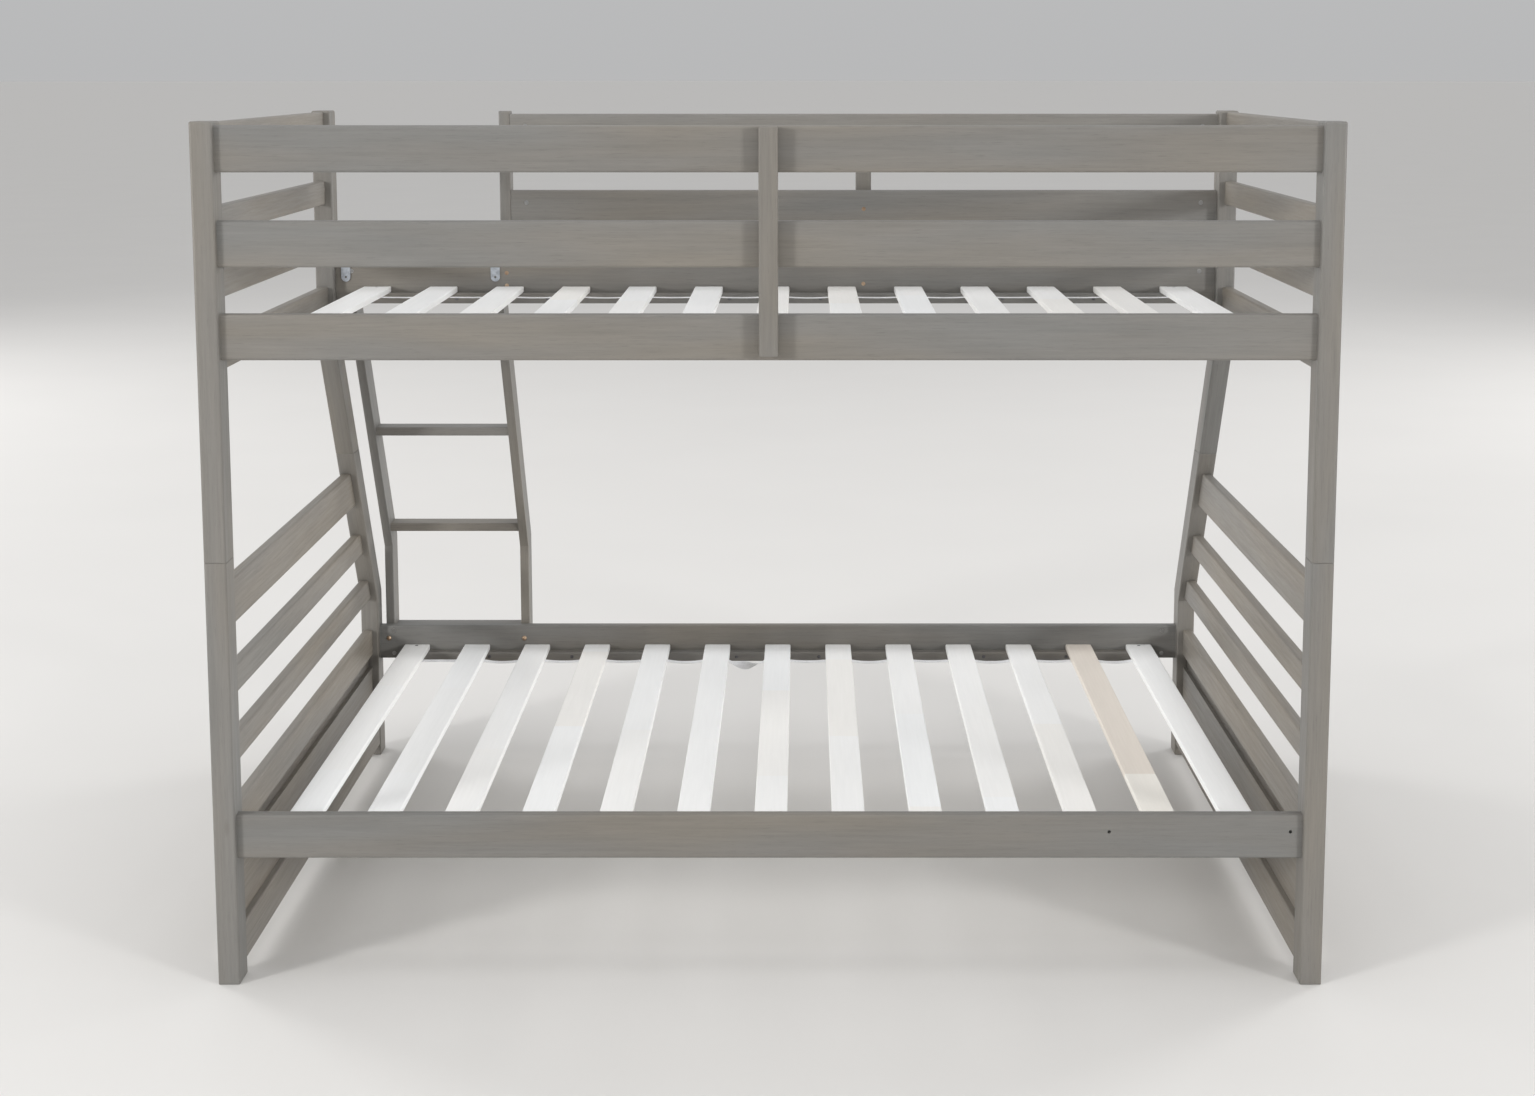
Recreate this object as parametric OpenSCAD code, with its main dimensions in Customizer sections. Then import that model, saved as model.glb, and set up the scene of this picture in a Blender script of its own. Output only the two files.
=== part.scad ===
// Twin-over-full bunk bed with a hook-on ladder.
// Frame: X runs along the beds, Y from the wall side (-Y) to the ladder side (+Y), Z up.
// The origin is on the floor, in the middle of the whole bed with its ladder.
// "Wall" pieces stand on the -Y side, "ladder" pieces on the +Y side; left is -X, right is +X.
// The ladder-side legs lean outwards, because the lower bed is deeper than the upper one.

/* [Overall] */
// Clear length between the posts
inner_length = 1940; // [1900:5:2000]
// Height of the post tops
post_top = 1572; // [1571:1:1600]
// Depth of the upper bed over its posts
upper_depth = 1052; // [1030:2:1070]
// Depth of the lower bed over its posts
lower_depth = 1454; // [1430:2:1460]
// Height of the joint between the lower and upper posts
seam_height = 787; // [760:1:840]
// How far the legs move out for each millimetre that they fall
lean_slope = 0.6; // [0.58:0.01:0.65]
// Height at which the legs begin to lean, on their inner face
lean_top = 1055; // [1040:1:1080]

/* [Posts] */
// Width of a post along the bed
post_w = 40; // [36:1:46]
// Depth of a post across the bed
post_d = 60; // [56:1:66]
// Rounding of the long edges of the posts
post_r = 4; // [2:0.5:5]
// Chamfer at the post tops
top_chamfer = 3; // [1:0.5:4]
// Chamfer at the post joints, which leaves a thin groove
seam_chamfer = 1.2; // [0.5:0.1:2]

/* [Long rails] */
// Thickness of the guard rails and side rails
rail_t = 24; // [20:1:26]
// Height of the guard rails and side rails
rail_h = 82; // [78:1:84]
// Step from the outer face of a post to the outer face of a rail
rail_recess = 12; // [8:1:14]
// Rounding of the rail edges
rail_r = 4; // [2:0.5:6]
// Middle height of the top guard rails
guard_top_z = 1524; // [1520:1:1528]
// Middle height of the lower guard rails
guard_mid_z = 1357; // [1350:1:1365]
// Middle height of the upper side rails
upper_rail_z = 1192; // [1188:1:1196]
// Middle height of the lower side rails
lower_rail_z = 277; // [272:1:282]

/* [End frames] */
// Inner face of the end rails, measured from the inner face of the posts
end_recess = 14; // [12:1:16]
// Thickness of the end rails
end_t = 22; // [20:1:22]
// Depth of the tenons that join the end rails to the posts
tenon_depth = 18; // [10:1:22]
// Thickness of the tenons
tenon_t = 12; // [8:1:14]

/* [Slats] */
// Slats in each bed
slat_count = 13; // [9:2:15]
// Distance between slat centres
slat_pitch = 146.5; // [120:0.5:150]
// Width of a slat
slat_w = 62; // [50:1:80]
// Thickness of a slat
slat_t = 13; // [12:1:20]
// Depth of the ledgers that carry the slats
ledger_d = 28; // [24:1:32]
// Height of the ledgers
ledger_h = 22; // [20:1:24]
// Length of the ledgers
ledger_length = 1830; // [1820:5:1850]

/* [Ladder] */
// Distance between the middles of the ladder stiles
stile_spacing = 330; // [300:1:332]
// Middle of the right-hand stile along the bed
stile_right_x = -618; // [-622:1:-617]
// Thickness of a stile
stile_t = 20; // [18:1:20]
// Width of a stile, front to back
stile_d = 66; // [60:1:70]
// Rungs in the ladder
rung_count = 4; // [3:1:4]
// Height of the lowest rung's middle
rung_first_z = 301; // [299:1:310]
// Distance between the rungs
rung_pitch = 260; // [240:1:262]
// Depth of a rung, front to back
rung_d = 60; // [50:1:62]
// Thickness of a rung
rung_t = 20; // [18:1:24]

/* [Guard opening] */
// Width of the short post beside the opening
gate_w = 24; // [22:1:26]
// Middle of that short post along the bed
gate_x = -593; // [-594:1:-585]
// Width of the cleats that tie the guard rails together
cleat_w = 34; // [30:1:40]
// Thickness of those cleats
cleat_t = 25; // [20:1:28]

/* [Hardware] */
// Radius of the connector bolts' shanks
bolt_r = 3; // [2.5:0.5:3]
// Radius of the connector bolts' heads
bolt_head_r = 7; // [6:0.5:7]
// Radius of the barrel nuts
nut_r = 5; // [4.5:0.5:5.5]
// Distance from a rail's end to its barrel nut
nut_setback = 34; // [30:1:40]
// Radius of the steel pins between the lower and upper posts
pin_r = 5; // [4:0.5:6]
// Thickness of the ladder hooks' steel strap
hook_t = 3; // [2:0.5:3]

/* [Hidden] */

wood = "#8f8a84";
slat_white = "#efeeec";
slat_cream = "#ece3cf";
zinc = "#b9bec6";
yellow_zinc = "#b59a55";
steel = "#83868a";
tape_white = "#e9e9ea";

// Radial room around a bolt or screw in its hole
room = 0.2;
// Round pieces that pass through a hole are drawn with this many sides
fine = 48;

half_in = inner_length / 2;
half_out = half_in + post_w;
post_x = half_in + post_w / 2;

// Faces across the bed, measured from the wall-side posts' outer face
wall_rail_y = rail_recess + rail_t / 2;
upper_rail_y = upper_depth - rail_recess - rail_t / 2;
lower_rail_y = lower_depth - rail_recess - rail_t / 2;
upper_far_in = upper_depth - post_d;
lower_far_in = lower_depth - post_d;
lean_len = sqrt(1 + lean_slope * lean_slope);
lean_bottom = lean_top - (lower_depth - upper_depth) / lean_slope;
// Level depth of a leaning leg, and how much higher its back face bends than its front
leg_deep = post_d * lean_len;
leg_rise = (leg_deep - post_d) / lean_slope;

// Ladder faces: its front lies on the hooks at the top and on the lower rail at the foot
ladder_top_y = upper_depth - rail_recess + hook_t;
ladder_foot_y = lower_depth - rail_recess;
ladder_bend_top = 1175;
ladder_bend_foot = ladder_bend_top - (ladder_foot_y - ladder_top_y) / lean_slope;
ladder_top_z = 1228;
ladder_foot_z = 240;
stile_left_x = stile_right_x - stile_spacing;

// The middle of the whole depth, from the wall-side cleat to the back of the ladder
y_low = rail_recess - cleat_t;
y_high = ladder_foot_y + stile_d;
y_mid = (y_low + y_high) / 2;

upper_deck_z = upper_rail_z - rail_h / 2 + ledger_h;
lower_deck_z = lower_rail_z - rail_h / 2 + ledger_h;
end_x = half_in + end_recess + end_t / 2;

// Bottom and top heights of the end rails
upper_end_z = [[1486, 1569], [1368, 1419], [1254, 1305], [1124, 1187]];
lower_end_z = [[651, 735], [520, 571], [392, 443], [250, 313]];
foot_rail_z = [25, 97];
panel_step_z = 220;

bolt_lift = 14;
side_bolt_lift = 28;
screw_spots = [-900 : 200 : 900];
foot_bolt_z = 286;
gate_screw_z = [1188, 1216];

// ---------------------------------------------------------------- shared shapes

// Rectangle with rounded corners, centred, as one list of points
function soft_box(w, h, r, n = 3) = [
    for (c = [0 : 3], i = [0 : n])
        let (a = 90 * c + 90 * i / n,
             sx = (c == 0 || c == 3) ? 1 : -1,
             sy = (c < 2) ? 1 : -1)
        [sx * (w / 2 - r) + r * cos(a), sy * (h / 2 - r) + r * sin(a)]
];

// Rectangle with cut corners between two corner points
function cut_box(x0, x1, z0, z1, c0, c1) = [
    [x0 + c0, z0], [x1 - c0, z0], [x1, z0 + c0], [x1, z1 - c1],
    [x1 - c1, z1], [x0 + c1, z1], [x0, z1 - c1], [x0, z0 + c0]
];

// Inner face of the ladder-side legs at a height
function leg_y(z) = z >= lean_top ? upper_far_in
    : z <= lean_bottom ? lower_far_in
    : upper_far_in + (lean_top - z) * lean_slope;

// Everything is drawn from the wall side and then centred
module place() {
    translate([0, -y_mid, 0]) children();
}

// Outline in the YZ plane, carried along X
module across_x(points, x0, x1) {
    translate([x0, 0, 0])
        rotate([90, 0, 90])
            linear_extrude(height = x1 - x0) polygon(points);
}

// Outline in the XZ plane, carried along Y
module across_y(points, y0, y1) {
    translate([0, y1, 0])
        rotate([90, 0, 0])
            linear_extrude(height = y1 - y0) polygon(points);
}

module round_x(x0, x1, y, z, r) {
    translate([x0, y, z]) rotate([0, 90, 0]) cylinder(h = x1 - x0, r = r, $fn = fine);
}

module round_y(x, y0, y1, z, r) {
    translate([x, y0, z]) rotate([-90, 0, 0]) cylinder(h = y1 - y0, r = r, $fn = fine);
}

// Soft-edged bar along X
module bar_x(x0, x1, y, z, d, h, r) {
    translate([0, y, z]) across_x(soft_box(d, h, r), x0, x1);
}

// Soft-edged bar along Y
module bar_y(x, y0, y1, z, w, h, r) {
    translate([x, 0, z]) across_y(soft_box(w, h, r), y0, y1);
}

// Countersunk wood screw along +Z, its head's face at zero and its point below
module wood_screw(length, r, head_r) {
    head_h = head_r - r;
    difference() {
        union() {
            translate([0, 0, -head_h]) cylinder(h = head_h, r1 = r, r2 = head_r, $fn = 32);
            translate([0, 0, 4 - length]) cylinder(h = length - 4 - head_h, r = r, $fn = 32);
            translate([0, 0, -length]) cylinder(h = 4, r1 = 0.3, r2 = r, $fn = 32);
        }
        for (a = [0, 90])
            rotate([0, 0, a]) translate([-head_r * 0.55, -0.45, -1.2])
                cube([head_r * 1.1, 0.9, 2]);
    }
}

// The hole that such a screw fills
module screw_hole(length, r, head_r) {
    head_h = head_r - r;
    translate([0, 0, -head_h]) cylinder(h = head_h, r1 = r + room, r2 = head_r + room, $fn = 32);
    translate([0, 0, -0.01]) cylinder(h = 5, r = head_r + room, $fn = 32);
    translate([0, 0, -length - 0.5]) cylinder(h = length, r = r + room, $fn = 32);
}

// ---------------------------------------------------------------- fastener places

// Every connector bolt: [face of its head, direction along X, Y, Z, wood under the head]
function end_pair(y, z) = [[-half_out, 1, y, z, post_w], [half_out, -1, y, z, post_w]];
function upper_wall_bolts() = concat(
    end_pair(wall_rail_y, guard_top_z + bolt_lift),
    end_pair(wall_rail_y, guard_mid_z + bolt_lift),
    end_pair(wall_rail_y, upper_rail_z + side_bolt_lift),
    end_pair(wall_rail_y, upper_rail_z - side_bolt_lift)
);
function lower_wall_bolts() = concat(
    end_pair(wall_rail_y, lower_rail_z + side_bolt_lift),
    end_pair(wall_rail_y, lower_rail_z - side_bolt_lift)
);
function lower_ladder_bolts() = concat(
    end_pair(lower_rail_y, lower_rail_z + side_bolt_lift),
    end_pair(lower_rail_y, lower_rail_z - side_bolt_lift)
);
function upper_side_bolts() = concat(
    end_pair(upper_rail_y, upper_rail_z + side_bolt_lift),
    end_pair(upper_rail_y, upper_rail_z - side_bolt_lift)
);
function guard_bolts() = [
    for (z = [guard_top_z + bolt_lift, guard_mid_z + bolt_lift])
        each [
            [half_out, -1, upper_rail_y, z, post_w],
            [gate_x - gate_w / 2, 1, upper_rail_y, z, gate_w]
        ]
];
function all_bolts() = concat(upper_wall_bolts(), lower_wall_bolts(), lower_ladder_bolts(),
                              upper_side_bolts(), guard_bolts());
// The face of the rail that the barrel nut is pushed into, and which way it goes
function nut_face(y) = y < 200 ? y + rail_t / 2 : y - rail_t / 2;
function nut_way(y) = y < 200 ? -1 : 1;
function nut_x(b) = b[0] + b[1] * (b[4] + nut_setback);

// Bolt holes with their counterbores, and the cross holes for the nuts
module bolt_holes(bolts) {
    for (b = bolts) {
        x1 = nut_x(b) + b[1] * 9;
        round_x(min(b[0], x1), max(b[0], x1), b[2], b[3], bolt_r + room);
        round_x(min(b[0] - b[1] * 5, b[0] + b[1] * 3), max(b[0] - b[1] * 5, b[0] + b[1] * 3),
                b[2], b[3], bolt_head_r + 0.5);
    }
}

module nut_holes(bolts) {
    for (b = bolts) {
        face = nut_face(b[2]);
        deep = face + nut_way(b[2]) * 19;
        out = face - nut_way(b[2]) * 5;
        round_y(nut_x(b), min(deep, out), max(deep, out), b[3], nut_r + 0.1);
    }
}

module ledger_screw_places(y_face, way, z) {
    for (x = screw_spots)
        translate([x, y_face, z]) rotate([way > 0 ? 90 : -90, 0, 0]) children();
}

// ---------------------------------------------------------------- posts

module post_pin_holes() {
    for (x = [-post_x, post_x], y = [post_d / 2, leg_y(seam_height) + leg_deep / 2])
        translate([x, y, seam_height - 30.5]) cylinder(h = 61, r = pin_r + room, $fn = fine);
}

module wall_post(side, z0, z1, c0, c1) {
    intersection() {
        translate([side * post_x, post_d / 2, z0])
            linear_extrude(height = z1 - z0) polygon(soft_box(post_w, post_d, post_r));
        across_y(cut_box(side * post_x - post_w / 2, side * post_x + post_w / 2, z0, z1, c0, c1),
                 -1, post_d + 1);
        across_x(cut_box(0, post_d, z0, z1, c0, c1), side * post_x - post_w, side * post_x + post_w);
    }
}

module lower_wall_post(side) {
    color(wood) place() difference() {
        wall_post(side, 0, seam_height, 1.5, seam_chamfer);
        lower_end_tenons(side);
        bolt_holes(lower_wall_bolts());
        post_pin_holes();
    }
}

module upper_wall_post(side) {
    color(wood) place() difference() {
        wall_post(side, seam_height, post_top, seam_chamfer, top_chamfer);
        upper_end_tenons(side);
        bolt_holes(upper_wall_bolts());
        post_pin_holes();
    }
}

module lower_leg(side) {
    c = seam_chamfer;
    z = seam_height;
    color(wood) place() difference() {
        intersection() {
            across_x([[lower_far_in + 1.5, 0], [lower_depth - 1.5, 0], [lower_depth, 1.5],
                       [lower_depth, lean_bottom + leg_rise], [leg_y(z - c) + leg_deep, z - c],
                       [leg_y(z) + leg_deep - c, z], [leg_y(z) + c, z], [leg_y(z - c), z - c],
                       [lower_far_in, lean_bottom], [lower_far_in, 1.5]],
                      side * post_x - post_w / 2, side * post_x + post_w / 2);
            across_y(cut_box(side * post_x - post_w / 2, side * post_x + post_w / 2,
                             0, z, 1.5, c), 0, lower_depth + 1);
        }
        lower_end_tenons(side);
        bolt_holes(lower_ladder_bolts());
        post_pin_holes();
    }
}

module upper_leg(side) {
    c = seam_chamfer;
    t = top_chamfer;
    z = seam_height;
    color(wood) place() difference() {
        intersection() {
            across_x([[leg_y(z) + c, z], [leg_y(z) + leg_deep - c, z],
                       [leg_y(z + c) + leg_deep, z + c], [upper_depth, lean_top + leg_rise],
                       [upper_depth, post_top - t], [upper_depth - t, post_top],
                       [upper_far_in + t, post_top], [upper_far_in, post_top - t],
                       [upper_far_in, lean_top], [leg_y(z + c), z + c]],
                      side * post_x - post_w / 2, side * post_x + post_w / 2);
            across_y(cut_box(side * post_x - post_w / 2, side * post_x + post_w / 2,
                             z, post_top, c, t), 0, lower_depth + 1);
        }
        upper_end_tenons(side);
        bolt_holes(concat(upper_side_bolts(), guard_bolts()));
        post_pin_holes();
    }
}

module lower_post_wall_left() { lower_wall_post(-1); }
module lower_post_wall_right() { lower_wall_post(1); }
module lower_post_ladder_left() { lower_leg(-1); }
module lower_post_ladder_right() { lower_leg(1); }
module upper_post_wall_left() { upper_wall_post(-1); }
module upper_post_wall_right() { upper_wall_post(1); }
module upper_post_ladder_left() { upper_leg(-1); }
module upper_post_ladder_right() { upper_leg(1); }

// ---------------------------------------------------------------- end frames

// Tenons at both ends of one end rail
module tenon_pair(side, z0, z1) {
    x0 = side * end_x - tenon_t / 2;
    a = z0 + 9;
    b = z1 - 9;
    across_x([[post_d - tenon_depth, a], [post_d + 0.01, a],
              [post_d + 0.01, b], [post_d - tenon_depth, b]], x0, x0 + tenon_t);
    across_x([[leg_y(a) - 0.01, a], [leg_y(a) + tenon_depth, a],
              [leg_y(b) + tenon_depth, b], [leg_y(b) - 0.01, b]], x0, x0 + tenon_t);
}

module upper_end_tenons(side) {
    for (z = upper_end_z) tenon_pair(side, z[0], z[1]);
}

module lower_end_tenons(side) {
    for (z = lower_end_z) tenon_pair(side, z[0], z[1]);
    tenon_pair(side, foot_rail_z[0], foot_rail_z[1]);
}

// One rail of an end frame, cut to meet the face of the leg
module end_rail(side, zz) {
    color(wood) place() {
        intersection() {
            bar_y(side * end_x, post_d, lower_far_in, (zz[0] + zz[1]) / 2,
                  end_t, zz[1] - zz[0], rail_r);
            across_x([[post_d, zz[0]], [leg_y(zz[0]), zz[0]],
                      [leg_y(zz[1]), zz[1]], [post_d, zz[1]]],
                     side * end_x - end_t, side * end_x + end_t);
        }
        tenon_pair(side, zz[0], zz[1]);
    }
}

// Solid board under the lowest end rail, thinner along its top edge
module end_panel(side) {
    inner = half_in + end_recess + 2;
    outer = inner + 18;
    thin = inner + 9;
    color(wood) place()
        across_y([for (p = [[inner, foot_rail_z[1]], [outer, foot_rail_z[1]],
                            [outer, lower_end_z[3][0]], [thin, lower_end_z[3][0]],
                            [thin, panel_step_z], [inner, panel_step_z]])
                     [side * p[0], p[1]]], post_d, lower_far_in);
}

// Thick rail near the floor
module foot_rail(side) {
    inner = half_in + 2;
    outer = half_in + end_recess + end_t - 2;
    color(wood) place() {
        bar_y(side * (inner + outer) / 2, post_d, lower_far_in,
              (foot_rail_z[0] + foot_rail_z[1]) / 2,
              outer - inner, foot_rail_z[1] - foot_rail_z[0], rail_r);
        tenon_pair(side, foot_rail_z[0], foot_rail_z[1]);
    }
}

module upper_end_top_rail_left() { end_rail(-1, upper_end_z[0]); }
module upper_end_second_rail_left() { end_rail(-1, upper_end_z[1]); }
module upper_end_third_rail_left() { end_rail(-1, upper_end_z[2]); }
module upper_end_bottom_rail_left() { end_rail(-1, upper_end_z[3]); }
module upper_end_top_rail_right() { end_rail(1, upper_end_z[0]); }
module upper_end_second_rail_right() { end_rail(1, upper_end_z[1]); }
module upper_end_third_rail_right() { end_rail(1, upper_end_z[2]); }
module upper_end_bottom_rail_right() { end_rail(1, upper_end_z[3]); }
module lower_end_top_rail_left() { end_rail(-1, lower_end_z[0]); }
module lower_end_second_rail_left() { end_rail(-1, lower_end_z[1]); }
module lower_end_third_rail_left() { end_rail(-1, lower_end_z[2]); }
module lower_end_fourth_rail_left() { end_rail(-1, lower_end_z[3]); }
module lower_end_panel_left() { end_panel(-1); }
module lower_end_foot_rail_left() { foot_rail(-1); }
module lower_end_top_rail_right() { end_rail(1, lower_end_z[0]); }
module lower_end_second_rail_right() { end_rail(1, lower_end_z[1]); }
module lower_end_third_rail_right() { end_rail(1, lower_end_z[2]); }
module lower_end_fourth_rail_right() { end_rail(1, lower_end_z[3]); }
module lower_end_panel_right() { end_panel(1); }
module lower_end_foot_rail_right() { foot_rail(1); }

// ---------------------------------------------------------------- guards and side rails

// Brass-coloured screws: through each rail into its cleat, and through the rail into the short post
module guard_screw_places() {
    for (z = [guard_top_z, guard_mid_z, upper_rail_z]) {
        translate([0, wall_rail_y + rail_t / 2, z]) rotate([-90, 0, 0]) children();
        translate([guard_cleat_x(), upper_rail_y - rail_t / 2, z])
            rotate([90, 0, 0]) children();
    }
    for (z = gate_screw_z)
        translate([gate_x, upper_rail_y - rail_t / 2, z]) rotate([90, 0, 0]) children();
}

function guard_cleat_x() = (gate_x + gate_w / 2 + half_in) / 2;

module long_rail(x0, x1, y, z, bolts) {
    color(wood) place() difference() {
        bar_x(x0, x1, y, z, rail_t, rail_h, rail_r);
        bolt_holes(bolts);
        nut_holes(bolts);
        guard_screw_places() screw_hole(40, 2.2, 4.4);
        children();
    }
}

module wall_guard_top_rail() {
    long_rail(-half_in, half_in, wall_rail_y, guard_top_z, upper_wall_bolts());
}

module wall_guard_mid_rail() {
    long_rail(-half_in, half_in, wall_rail_y, guard_mid_z, upper_wall_bolts());
}

module ladder_guard_top_rail() {
    long_rail(gate_x + gate_w / 2, half_in, upper_rail_y, guard_top_z, guard_bolts());
}

module ladder_guard_mid_rail() {
    long_rail(gate_x + gate_w / 2, half_in, upper_rail_y, guard_mid_z, guard_bolts());
}

module upper_side_rail_wall() {
    long_rail(-half_in, half_in, wall_rail_y, upper_rail_z, upper_wall_bolts())
        ledger_screw_places(wall_rail_y + rail_t / 2 + ledger_d, -1, upper_deck_z - ledger_h / 2)
            screw_hole(44, 2, 4);
}

module upper_side_rail_ladder() {
    long_rail(-half_in, half_in, upper_rail_y, upper_rail_z, upper_side_bolts())
        ledger_screw_places(upper_rail_y - rail_t / 2 - ledger_d, 1, upper_deck_z - ledger_h / 2)
            screw_hole(44, 2, 4);
}

// The two lower side rails are one piece turned half round, so both have the ladder's holes
module lower_side_rail_wall() {
    long_rail(-half_in, half_in, wall_rail_y, lower_rail_z, lower_wall_bolts()) {
        ledger_screw_places(wall_rail_y + rail_t / 2 + ledger_d, -1, lower_deck_z - ledger_h / 2)
            screw_hole(44, 2, 4);
        for (x = [-stile_right_x, -stile_left_x])
            round_y(x, 0, 60, foot_bolt_z, bolt_r + room);
    }
}

module lower_side_rail_ladder() {
    long_rail(-half_in, half_in, lower_rail_y, lower_rail_z, lower_ladder_bolts()) {
        ledger_screw_places(lower_rail_y - rail_t / 2 - ledger_d, 1, lower_deck_z - ledger_h / 2)
            screw_hole(44, 2, 4);
        for (x = [stile_left_x, stile_right_x])
            round_y(x, lower_rail_y - 40, lower_rail_y + 40, foot_bolt_z, bolt_r + room);
    }
}

module cleat(x, y) {
    color(wood) place() difference() {
        intersection() {
            translate([x, y, 1161])
                linear_extrude(height = 402) polygon(soft_box(cleat_w, cleat_t, 3));
            across_y(cut_box(x - cleat_w / 2, x + cleat_w / 2, 1161, 1563, 2, 2), y - 40, y + 40);
        }
        guard_screw_places() screw_hole(40, 2.2, 4.4);
    }
}

module wall_guard_cleat() { cleat(0, rail_recess - cleat_t / 2); }
module ladder_guard_cleat() {
    cleat(guard_cleat_x(), upper_depth - rail_recess + cleat_t / 2);
}

// Short post beside the opening: its foot laps outside the side rail, and its shoulder
// rests on that rail; its top corners are rounded
module opening_post() {
    front = upper_rail_y - rail_t / 2 - 2;
    lap = upper_rail_y + rail_t / 2;
    back = lap + rail_t;
    shoulder = upper_rail_z + rail_h / 2;
    top = post_top - 1;
    big = 16;
    small = 4;
    color(wood) place() difference() {
        intersection() {
            across_x(concat(
                [[lap, 1161], [back - 3, 1161], [back, 1164]],
                [for (a = [0 : 15 : 90])
                    [back - big + big * cos(a), top - big + big * sin(a)]],
                [for (a = [90 : 30 : 180])
                    [front + small + small * cos(a), top - small + small * sin(a)]],
                [[front, shoulder], [lap, shoulder]]),
                gate_x - gate_w / 2, gate_x + gate_w / 2);
            translate([gate_x, (front + back) / 2, 1100])
                linear_extrude(height = 600) polygon(soft_box(gate_w, back - front, 3));
        }
        bolt_holes(guard_bolts());
        guard_screw_places() screw_hole(40, 2.2, 4.4);
    }
}

// ---------------------------------------------------------------- ledgers, slats and webbing

module ledger(y_rail_face, way, deck_z) {
    y = y_rail_face + way * ledger_d / 2;
    color(wood) place() difference() {
        bar_x(-ledger_length / 2, ledger_length / 2, y, deck_z - ledger_h / 2,
              ledger_d, ledger_h, 2);
        ledger_screw_places(y_rail_face + way * ledger_d, -way, deck_z - ledger_h / 2)
            screw_hole(44, 2, 4);
        slat_screw_places() screw_hole(30, 2, 4);
    }
}

module upper_ledger_wall() { ledger(wall_rail_y + rail_t / 2, 1, upper_deck_z); }
module upper_ledger_ladder() { ledger(upper_rail_y - rail_t / 2, -1, upper_deck_z); }
module lower_ledger_wall() { ledger(wall_rail_y + rail_t / 2, 1, lower_deck_z); }
module lower_ledger_ladder() { ledger(lower_rail_y - rail_t / 2, -1, lower_deck_z); }

// The end slats of each deck are screwed to the ledgers
module slat_screw_places() {
    x = slat_pitch * (slat_count - 1) / 2;
    near = wall_rail_y + rail_t / 2 + 12;
    for (s = [-1, 1]) {
        for (y = [near, upper_rail_y - rail_t / 2 - 12])
            translate([s * x, y, upper_deck_z + slat_t]) children();
        for (y = [near, lower_rail_y - rail_t / 2 - 12])
            translate([s * x, y, lower_deck_z + slat_t]) children();
    }
}

module slat(i, far_face, deck_z) {
    x = slat_pitch * (i - (slat_count - 1) / 2);
    intersection() {
        bar_y(x, wall_rail_y + rail_t / 2 + 2, far_face - 2, deck_z + slat_t / 2,
              slat_w, slat_t, 2.5);
        translate([x, (wall_rail_y + rail_t / 2 + far_face) / 2, deck_z - 1])
            linear_extrude(height = slat_t + 2)
                polygon(soft_box(slat_w, far_face - wall_rail_y - rail_t / 2 - 4, 4));
    }
}

module upper_slats() {
    color(slat_white) place() difference() {
        for (i = [0 : slat_count - 1]) slat(i, upper_rail_y - rail_t / 2, upper_deck_z);
        slat_screw_places() screw_hole(30, 2, 4);
    }
}

module lower_slats() {
    color(slat_white) place() difference() {
        for (i = [0 : slat_count - 1])
            if (i != slat_count - 2) slat(i, lower_rail_y - rail_t / 2, lower_deck_z);
        slat_screw_places() screw_hole(30, 2, 4);
    }
}

module lower_cream_slat() {
    color(slat_cream) place() slat(slat_count - 2, lower_rail_y - rail_t / 2, lower_deck_z);
}

// Flat tapes under the slats, which keep them evenly apart
module slat_webbing() {
    x = slat_pitch * (slat_count - 1) / 2 + slat_w / 2 - 4;
    inset = 104;
    color(tape_white) place() {
        for (y = [wall_rail_y + rail_t / 2 + inset, upper_rail_y - rail_t / 2 - inset])
            translate([-x, y - 10, upper_deck_z - 1]) cube([2 * x, 20, 1]);
        for (y = [wall_rail_y + rail_t / 2 + inset, lower_rail_y - rail_t / 2 - inset])
            translate([-x, y - 10, lower_deck_z - 1]) cube([2 * x, 20, 1]);
    }
}

// ---------------------------------------------------------------- ladder

// Middle of a rung across the bed at a height
function rung_y(z) = z > ladder_bend_foot
    ? ladder_top_y + (ladder_bend_top - z) * lean_slope + stile_d * lean_len / 2
    : ladder_foot_y + stile_d / 2;

module rung_solids() {
    for (i = [0 : rung_count - 1]) {
        z = rung_first_z + i * rung_pitch;
        bar_x(stile_left_x + stile_t / 2 - 5, stile_right_x - stile_t / 2 + 5,
              rung_y(z), z, rung_d, rung_t, 4);
    }
}

module stile(x) {
    top_back = ladder_top_y + stile_d;
    rise = stile_d * (lean_len - 1) / lean_slope;
    color(wood) place() difference() {
        across_x([[ladder_foot_y + 2, ladder_foot_z], [y_high - 12, ladder_foot_z],
                   [y_high, ladder_foot_z + 12], [y_high, ladder_bend_foot + rise],
                   [top_back, ladder_bend_top + rise], [top_back, ladder_top_z - 12],
                   [top_back - 12, ladder_top_z], [ladder_top_y + 2, ladder_top_z],
                   [ladder_top_y, ladder_top_z - 2], [ladder_top_y, ladder_bend_top],
                   [ladder_foot_y, ladder_bend_foot], [ladder_foot_y, ladder_foot_z + 2]],
                  x - stile_t / 2, x + stile_t / 2);
        rung_solids();
        hook_screw_places() screw_hole(30, 2, 4);
        for (fx = [stile_left_x, stile_right_x])
            round_y(fx, ladder_foot_y - 20, ladder_foot_y + 42, foot_bolt_z, bolt_r + room);
    }
}

module ladder_stile_left() { stile(stile_left_x); }
module ladder_stile_right() { stile(stile_right_x); }
module ladder_rungs() { color(wood) place() rung_solids(); }

module hook_screw_places() {
    for (x = [stile_left_x, stile_right_x], z = [1191, 1213])
        translate([x, upper_depth - rail_recess, z]) rotate([90, 0, 0]) children();
}

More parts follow.
